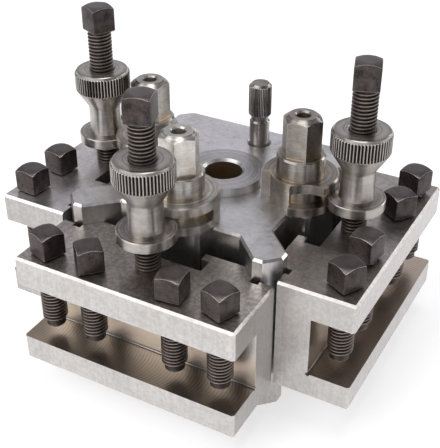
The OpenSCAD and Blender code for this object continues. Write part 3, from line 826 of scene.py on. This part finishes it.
def index_pin():
    length = (high_z("index_pin") - low_z("index_pin")) / MM
    head_foot = length - PIN_HEAD_H
    knurl = (PIN_TOOTH_DEPTH, PIN_TEETH)
    neck_r = PIN_R - PIN_NECK_DEPTH
    profile = [
        (PIN_R - PIN_CHAMFER, 0.0),
        (PIN_R, PIN_CHAMFER),
        (PIN_R, head_foot - PIN_NECK_H),
        (neck_r, head_foot - PIN_NECK_H + PIN_NECK_DEPTH),
        (neck_r, head_foot),
        (PIN_HEAD_R - PIN_CHAMFER, head_foot),
        (PIN_HEAD_R - 0.4, head_foot + 0.7),
        (PIN_HEAD_R, head_foot + 1.1, *knurl),
        (PIN_HEAD_R, length - 1.3, *knurl),
        (PIN_HEAD_R - 0.4, length - 0.9),
        (PIN_HEAD_R - PIN_CHAMFER - 0.2, length),
    ]
    bm = bmesh.new()
    lathe(bm, profile, PIN_TEETH * SIDES_PER_TOOTH)
    new_piece("pin_detail", bm, foot_of("index_pin"), "pin", pin_steel, ["index_pin"])


def crown_cone(top):
    """A mesh in metres of all that the turning of the hexagon's end leaves, up to a top in millimetres."""
    wide = CROWN_FLAT_R + CROWN_REACH
    bm = bmesh.new()
    lathe(bm, [
        (wide, -CROWN_REACH),
        (wide, top - CROWN_REACH * CROWN_SLOPE),
        (CROWN_FLAT_R, top),
        (CROWN_FLAT_R - 1, top + 0.001),
    ], CONE_SIDES)
    bmesh.ops.recalc_face_normals(bm, faces=bm.faces)
    bmesh.ops.scale(bm, vec=(MM, MM, MM), verts=bm.verts)
    mesh = bpy.data.meshes.new("crown_cone")
    bm.to_mesh(mesh)
    bm.free()
    return mesh


def crowned_spindle(station):
    """The CAD spindle with the end of its hexagon turned to a cone, as a piece of its own."""
    node = f"cam_spindle_{station}"
    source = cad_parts[node]
    facing = math.radians(STATION_ANGLE[station])
    at = Vector((math.cos(facing), math.sin(facing), 0)) * SPINDLE_RADIUS * MM
    cone = bpy.data.objects.new("crown_cone", crown_cone(high_z(node) / MM))
    cone.location = at
    uncut = bpy.data.objects.new("uncut_spindle", source.data.copy())
    uncut.matrix_world = source.matrix_world
    attributes = uncut.data.attributes
    if "custom_normal" in attributes:
        attributes.remove(attributes["custom_normal"])
    for item in (cone, uncut):
        bpy.context.scene.collection.objects.link(item)
    cut = uncut.modifiers.new("crown", "BOOLEAN")
    cut.operation = "INTERSECT"
    cut.solver = "EXACT"
    cut.object = cone
    bpy.context.view_layer.update()
    shaped = uncut.evaluated_get(bpy.context.evaluated_depsgraph_get())
    crowned = bmesh.new()
    crowned.from_mesh(shaped.to_mesh())
    crowned.transform(Matrix.Scale(1 / MM, 4) @ Matrix.Translation(-at) @ source.matrix_world)
    bpy.data.objects.remove(cone)
    bpy.data.objects.remove(uncut)
    name = f"spindle_detail_{station}"
    body = f"spindle_{station}"
    new_piece(name, crowned, at, body, spindle_steel[station], [node], CRISP_DEGREES)


dress_node("post_body", post_steel)
index_pin()
for station in STATION_ANGLE:
    crowned_spindle(station)
    dress_node(f"spindle_clip_{station}", screw_steel)
    dress_node(f"draw_bolt_{station}", bolt_steel)
    dress_node(f"tool_holder_{station}", holder_steel[station])
    height_nut(station)
    height_stud(station)
    for number in SCREWS:
        clamp_screw(station, number)


# Floor, light and camera. The floor lies a little under the part, so that no two faces share a level.

FLOOR_SIZE, FLOOR_Z = 6.0, -0.0002
FLOOR_COLOUR = (0.8, 0.8, 0.8, 1)
FLOOR_SEEN, FLOOR_MIRRORED = 0.53, 0.45
BACKDROP_COLOUR = (0.96, 0.96, 0.96, 1)

# Colour of the studio round the part, by the sine of the height over the horizon
SKY = (
    (0.0, (0.85, 0.87, 0.9)),
    (0.3, (0.7, 0.71, 0.76)),
    (0.55, (0.5, 0.49, 0.52)),
    (0.85, (0.4, 0.39, 0.41)),
)

# Dimmer stretches of the studio's wall: the direction of the middle and the half width, in degrees, and the
# share of the light that is missing. They stand in the order of their directions.
DIM_WALLS = ((-165, 22, 0.75), (-20, 32, 0.8), (70, 30, 0.7), (150, 18, 0.6))

# Lamps: place and size in metres and power in watts, all aimed at the middle of the part
LAMP_AIM = (0, 0, 0.05)
LAMPS = {
    "key_light": ((-0.5, -0.65, 0.9), (1.1, 0.8), 5),
    "back_light": ((0.6, 0.85, 0.45), (0.5, 0.25), 1.5),
    "top_light": ((0.0, 0.05, 1.2), (0.5, 0.4), 3),
}


def white_floor():
    """White floor: diffuse, so it keeps the shadow, and lifted to white for the camera and in reflections."""
    n = Nodes(bpy.data.materials.new("floor_white"))
    diffuse = n.add("ShaderNodeBsdfDiffuse")
    diffuse.inputs[0].default_value = FLOOR_COLOUR
    rays = n.add("ShaderNodeLightPath").outputs
    mirrored = n.times(n.math("MAXIMUM", rays["Is Glossy Ray"], rays["Is Transmission Ray"]), FLOOR_MIRRORED)
    glow = n.add("ShaderNodeEmission")
    n.put(glow.inputs["Strength"], n.math("MAXIMUM", n.times(rays["Is Camera Ray"], FLOOR_SEEN), mirrored))
    both = n.add("ShaderNodeAddShader")
    n.put(both.inputs[0], diffuse.outputs[0])
    n.put(both.inputs[1], glow.outputs[0])
    n.put(n.output.inputs[0], both.outputs[0])
    bm = bmesh.new()
    bmesh.ops.create_grid(bm, x_segments=1, y_segments=1, size=FLOOR_SIZE / 2)
    mesh = bpy.data.meshes.new("floor")
    bm.to_mesh(mesh)
    bm.free()
    mesh.materials.append(n.owner)
    floor = bpy.data.objects.new("floor", mesh)
    floor.location = (0, 0, FLOOR_Z)
    bpy.context.scene.collection.objects.link(floor)


def studio_world():
    """A studio that is pale round the horizon, with dimmer stretches of wall, and dim overhead.
    The camera itself sees a plain pale backdrop."""
    world = bpy.data.worlds.new("studio")
    bpy.context.scene.world = world
    n = Nodes(world, "ShaderNodeOutputWorld")
    x, y, height = n.axes(n.add("ShaderNodeTexCoord").outputs["Generated"])
    around = n.between(n.math("ARCTAN2", y, x), -math.pi, math.pi)
    stops = []
    for middle, half, depth in DIM_WALLS:
        for step, level in ((-half, 1.0), (-half / 2, 1 - depth), (half / 2, 1 - depth), (half, 1.0)):
            stops.append(((middle + step + 180) / 360, level))
    studio = n.add("ShaderNodeBackground")
    n.put(studio.inputs[0], n.ramp(height, SKY))
    n.put(studio.inputs[1], n.ramp(around, stops))
    backdrop = n.add("ShaderNodeBackground")
    backdrop.inputs[0].default_value = BACKDROP_COLOUR
    either = n.add("ShaderNodeMixShader")
    n.put(either.inputs[0], n.add("ShaderNodeLightPath").outputs["Is Camera Ray"])
    n.put(either.inputs[1], studio.outputs[0])
    n.put(either.inputs[2], backdrop.outputs[0])
    n.put(n.output.inputs[0], either.outputs[0])


def soft_box(name, at, size, power):
    data = bpy.data.lights.new(name, "AREA")
    data.shape = "RECTANGLE"
    data.size, data.size_y = size
    data.energy = power
    lamp = bpy.data.objects.new(name, data)
    lamp.location = at
    lamp.rotation_euler = (Vector(LAMP_AIM) - Vector(at)).to_track_quat("-Z", "Y").to_euler()
    bpy.context.scene.collection.objects.link(lamp)


def photo_camera():
    data = bpy.data.cameras.new("photo_camera")
    data.sensor_fit = "VERTICAL" if PHOTO_SIZE[1] > PHOTO_SIZE[0] else "HORIZONTAL"
    data.sensor_width = data.sensor_height = SENSOR_MM
    data.lens = FOCAL_PX / max(PHOTO_SIZE) * SENSOR_MM
    data.clip_start, data.clip_end = CLIP_METRES
    camera = bpy.data.objects.new("photo_camera", data)
    camera.location = Vector(CAMERA_AT) * MM
    turn = Matrix.Rotation(math.radians(CAMERA_YAW), 4, "Z")
    tilt = Matrix.Rotation(math.radians(90 - CAMERA_DOWN), 4, "X")
    roll = Matrix.Rotation(math.radians(CAMERA_ROLL), 4, "Z")
    camera.rotation_euler = (turn @ tilt @ roll).to_euler()
    bpy.context.scene.collection.objects.link(camera)
    bpy.context.scene.camera = camera


white_floor()
studio_world()
for name, (at, size, power) in LAMPS.items():
    soft_box(name, at, size, power)
photo_camera()
bpy.context.scene.view_settings.view_transform = "Standard"
